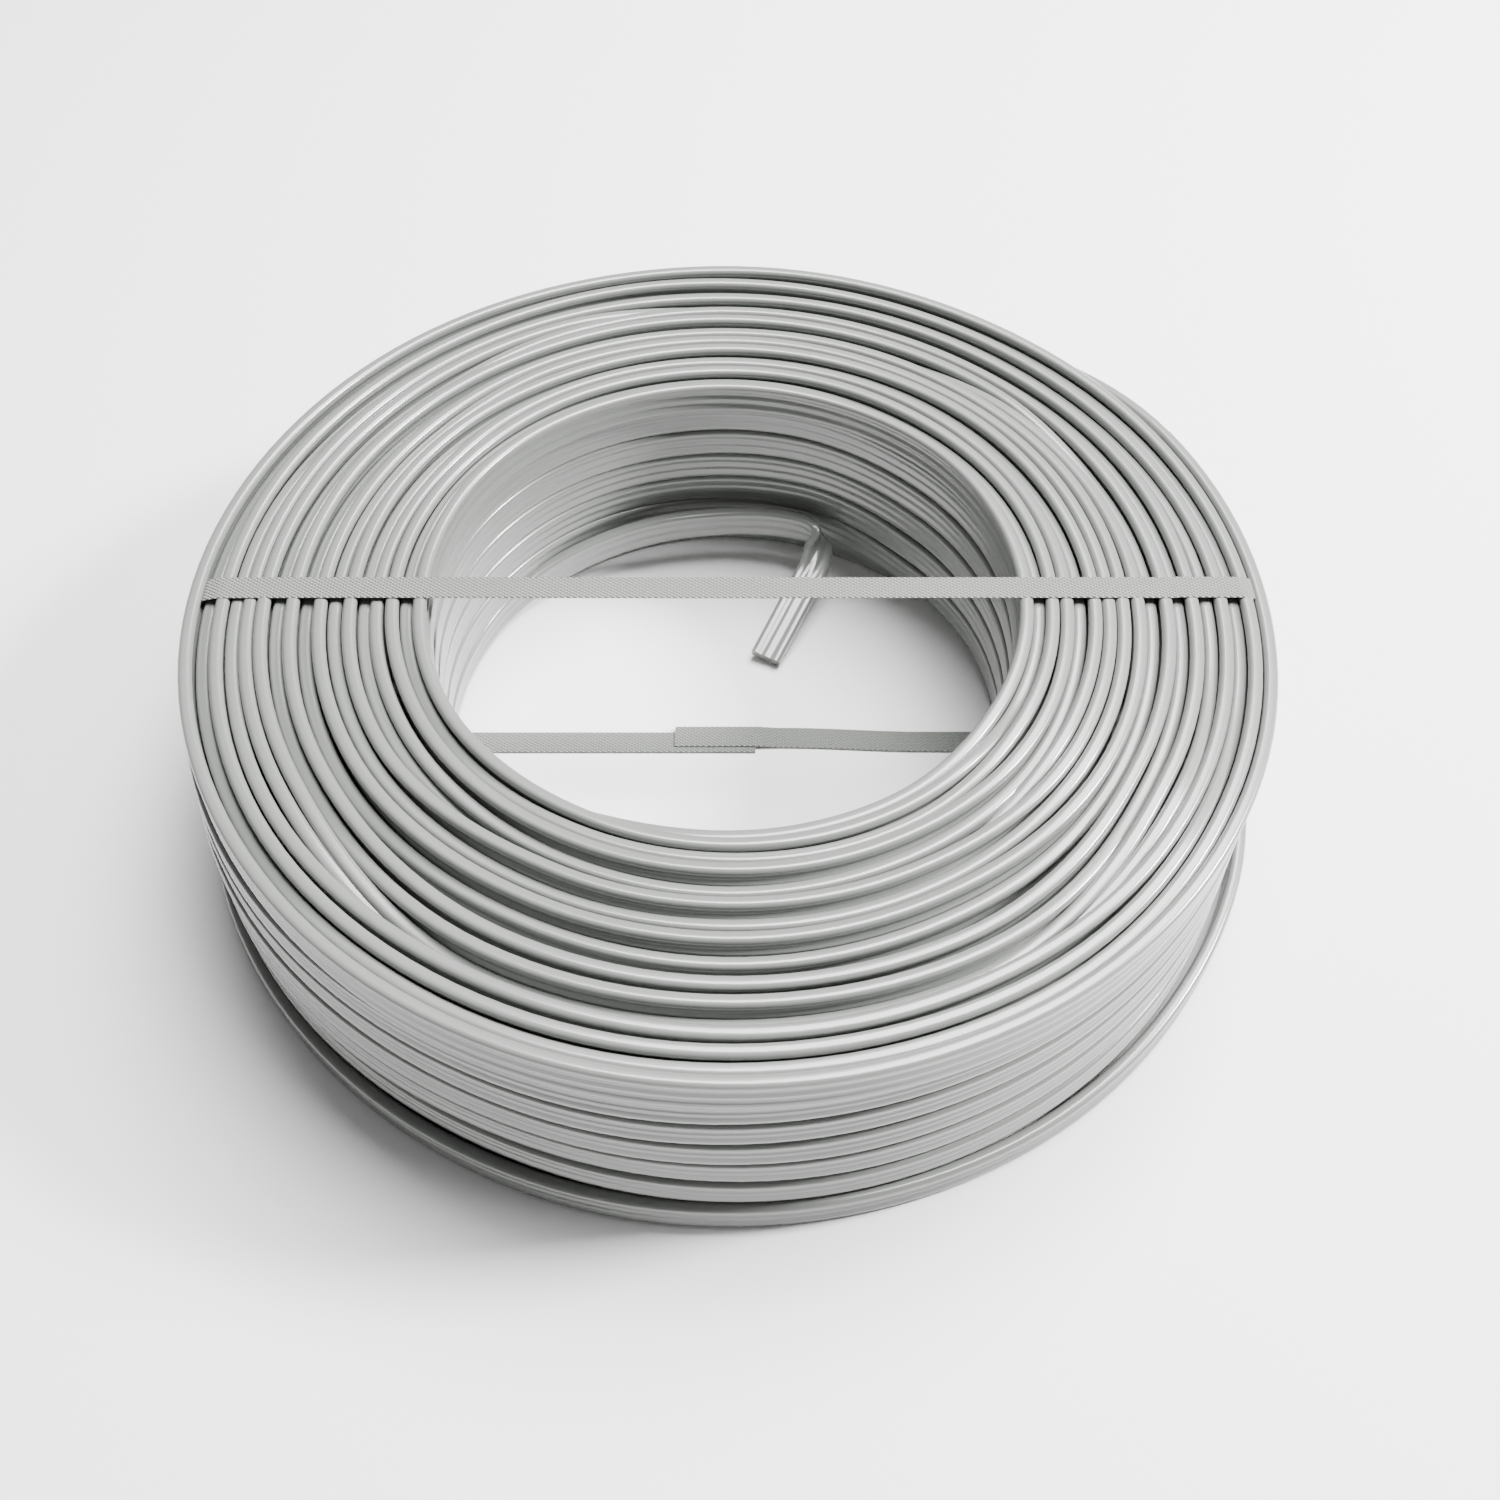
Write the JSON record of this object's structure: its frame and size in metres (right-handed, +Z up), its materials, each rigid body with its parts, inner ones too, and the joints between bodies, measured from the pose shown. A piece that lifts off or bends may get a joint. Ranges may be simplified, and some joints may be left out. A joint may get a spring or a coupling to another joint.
{
  "type": "coil of electrical wire",
  "caption": "Coil of flat multi-core PVC installation cable wound in a low ring with an open bore, tied across its middle with a plastic strap, one end loose in the bore.",
  "frame": {"origin": "on the floor plane, at the middle of the coil's bore", "axes": "+Z up along the bore's axis, +X along the strap, -Y towards the side that the picture shows in front"},
  "size_m": [0.352, 0.35, 0.0822],
  "materials": {
    "sheath": "satin PVC, light grey-white",
    "strap_plastic": "embossed polypropylene, light grey"
  },
  "bodies": {
    "root": {"cable_coil": "sheath", "cable_end": "sheath", "strap": "strap_plastic"}
  },
  "joints": []
}
